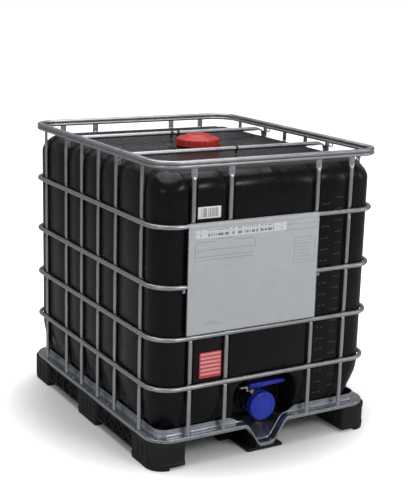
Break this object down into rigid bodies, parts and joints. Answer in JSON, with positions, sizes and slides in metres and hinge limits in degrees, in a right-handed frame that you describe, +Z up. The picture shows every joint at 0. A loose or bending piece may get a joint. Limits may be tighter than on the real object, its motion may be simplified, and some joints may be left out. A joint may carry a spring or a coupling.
{
  "type": "intermediate bulk container",
  "caption": "Black plastic tank in a galvanised tube cage on a pallet, with a screw lid on top and a lever valve with a screw cap at the front foot.",
  "frame": {"origin": "centre of the footprint, on the ground under the feet", "axes": "+X to the right seen from the valve side, +Y from the valve side to the rear, +Z up"},
  "size_m": [1, 1.2, 1.16],
  "materials": {
    "galvanised_steel": "galvanised tube, satin with a fine spangle",
    "deck_steel": "galvanised sheet, brighter than the tubes",
    "plate_steel": "pale coated sheet, soft sheen",
    "black_polyethylene": "blow-moulded, satin",
    "pallet_plastic": "injection-moulded, matt",
    "valve_plastic": "moulded, satin",
    "red_plastic": "moulded, soft gloss",
    "blue_plastic": "moulded, soft gloss",
    "seal_rubber": "matt ring seals"
  },
  "bodies": {
    "container": {"hoop_1": "galvanised_steel", "hoop_2": "galvanised_steel", "hoop_3": "galvanised_steel", "hoop_4": "galvanised_steel", "top_rim": "galvanised_steel", "upright_front_1": "galvanised_steel", "upright_front_2": "galvanised_steel", "upright_front_3": "galvanised_steel", "upright_front_4": "galvanised_steel", "upright_rear_1": "galvanised_steel", "upright_rear_2": "galvanised_steel", "upright_rear_3": "galvanised_steel", "upright_rear_4": "galvanised_steel", "upright_left_1": "galvanised_steel", "upright_left_2": "galvanised_steel", "upright_left_3": "galvanised_steel", "upright_left_4": "galvanised_steel", "upright_left_5": "galvanised_steel", "upright_left_6": "galvanised_steel", "upright_right_1": "galvanised_steel", "upright_right_2": "galvanised_steel", "upright_right_3": "galvanised_steel", "upright_right_4": "galvanised_steel", "upright_right_5": "galvanised_steel", "upright_right_6": "galvanised_steel", "crossbar_front": "galvanised_steel", "crossbar_rear": "galvanised_steel", "screw_front_left": "galvanised_steel", "screw_front_right": "galvanised_steel", "screw_rear_left": "galvanised_steel", "screw_rear_right": "galvanised_steel", "plate_clip_left": "galvanised_steel", "plate_clip_right": "galvanised_steel", "deck_tray": "deck_steel", "foot_front_left": "pallet_plastic", "foot_front_right": "pallet_plastic", "foot_middle_left": "pallet_plastic", "foot_middle_right": "pallet_plastic", "foot_rear_left": "pallet_plastic", "foot_rear_right": "pallet_plastic", "foot_front_centre": "pallet_plastic", "foot_centre": "pallet_plastic", "foot_rear_centre": "pallet_plastic", "rail_left_front": "pallet_plastic", "rail_left_rear": "pallet_plastic", "rail_right_front": "pallet_plastic", "rail_right_rear": "pallet_plastic", "bottle": "black_polyethylene", "label_plate": "plate_steel", "valve_body": "valve_plastic", "valve_union_nut": "valve_plastic", "valve_gasket": "seal_rubber"},
    "lid_seal": {"lid_gasket": "seal_rubber"},
    "lid": {"lid": "red_plastic"},
    "valve_lever": {"valve_handle": "blue_plastic", "valve_stem": "valve_plastic", "valve_disc": "valve_plastic"},
    "cap_seal": {"cap_gasket": "seal_rubber"},
    "outlet_cap": {"outlet_cap": "blue_plastic"}
  },
  "joints": [
    {"name": "lid_lift", "type": "slide", "parent": "container", "child": "lid_seal", "axis": [0, 0, 1], "range_m": [0, 0.12]},
    {"name": "lid_turn", "type": "hinge", "parent": "lid_seal", "child": "lid", "pos_m": [0, 0, 1.1384], "axis": [0, 0, 1], "continuous": true},
    {"name": "valve_turn", "type": "hinge", "parent": "container", "child": "valve_lever", "pos_m": [0, -0.5106, 0.2395], "axis": [0, 0, -1], "range_deg": [0, 90]},
    {"name": "cap_pull", "type": "slide", "parent": "container", "child": "cap_seal", "axis": [0, -1, 0], "range_m": [0, 0.08]},
    {"name": "cap_turn", "type": "hinge", "parent": "cap_seal", "child": "outlet_cap", "pos_m": [0, -0.559, 0.168], "axis": [0, -1, 0], "continuous": true}
  ]
}
